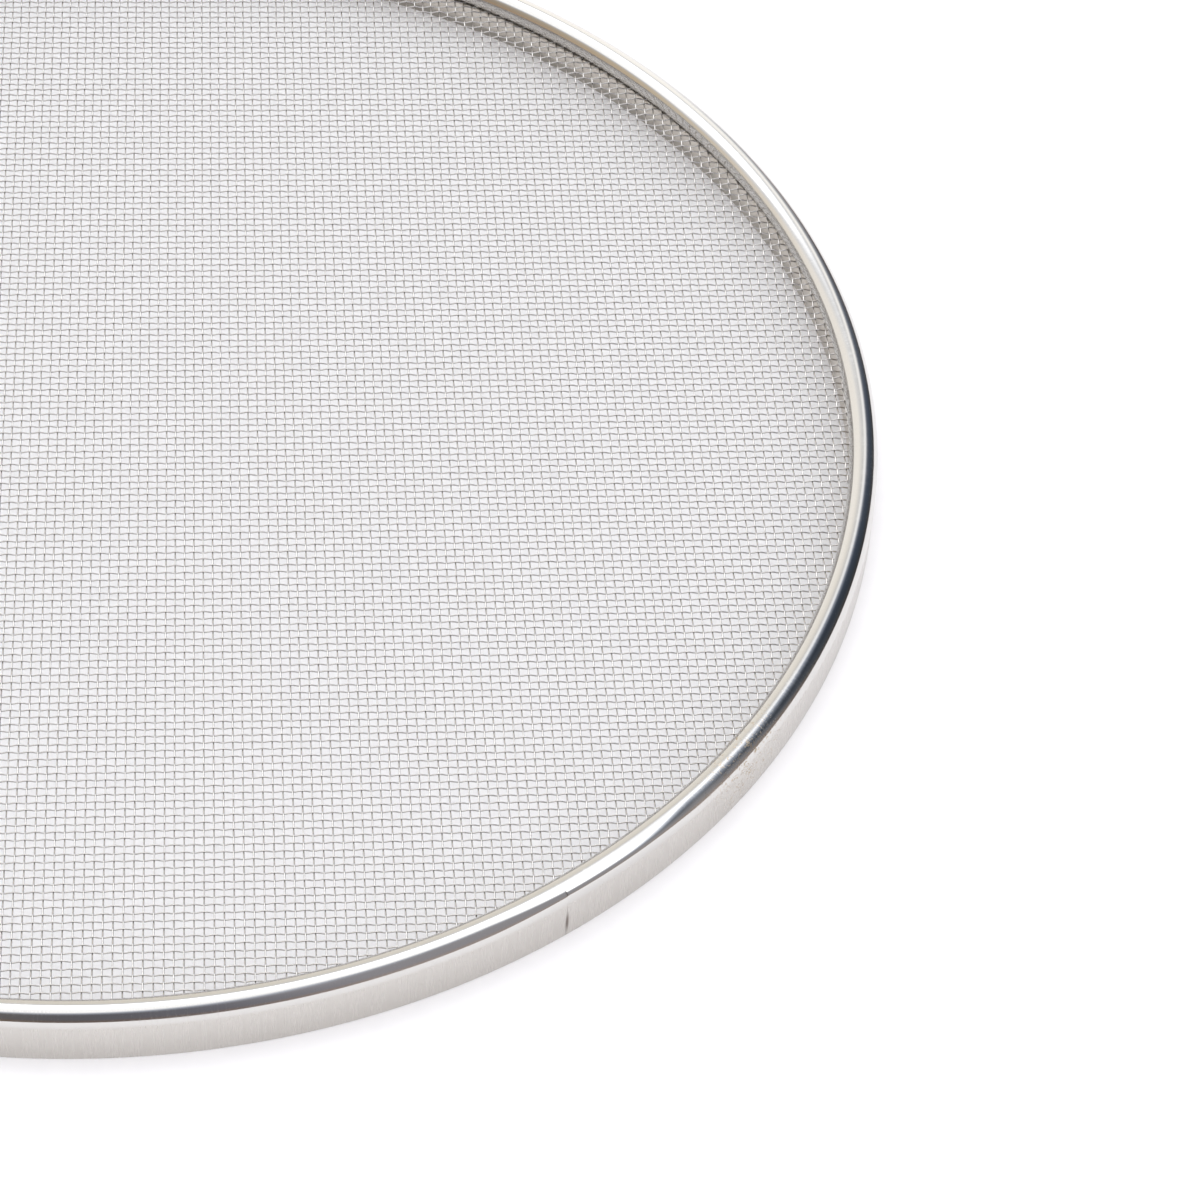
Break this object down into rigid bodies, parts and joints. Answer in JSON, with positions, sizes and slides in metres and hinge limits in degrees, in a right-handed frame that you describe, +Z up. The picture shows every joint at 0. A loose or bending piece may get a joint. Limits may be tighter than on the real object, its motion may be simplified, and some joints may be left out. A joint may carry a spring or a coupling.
{
  "type": "drum sieve",
  "caption": "Flat round sieve of stainless steel: woven wire cloth held in a low hoop with a polished rolled top edge, for sifting and pressing food through.",
  "frame": {"origin": "centre of the footprint on the table", "axes": "+Z up, square to the cloth; +Y along the warp wires, +X along the weft wires"},
  "size_m": [0.22, 0.22, 0.0083],
  "materials": {
    "rim_steel": "polished rolled edge, fine vertical grinding lines on the band",
    "core_steel": "drawn",
    "hoop_steel": "mill finish",
    "cloth_wire": "drawn and woven"
  },
  "bodies": {
    "root": {"outer_rim": "rim_steel", "core_wire": "core_steel", "inner_hoop": "hoop_steel", "warp_wires": "cloth_wire", "weft_wires": "cloth_wire"}
  },
  "joints": []
}
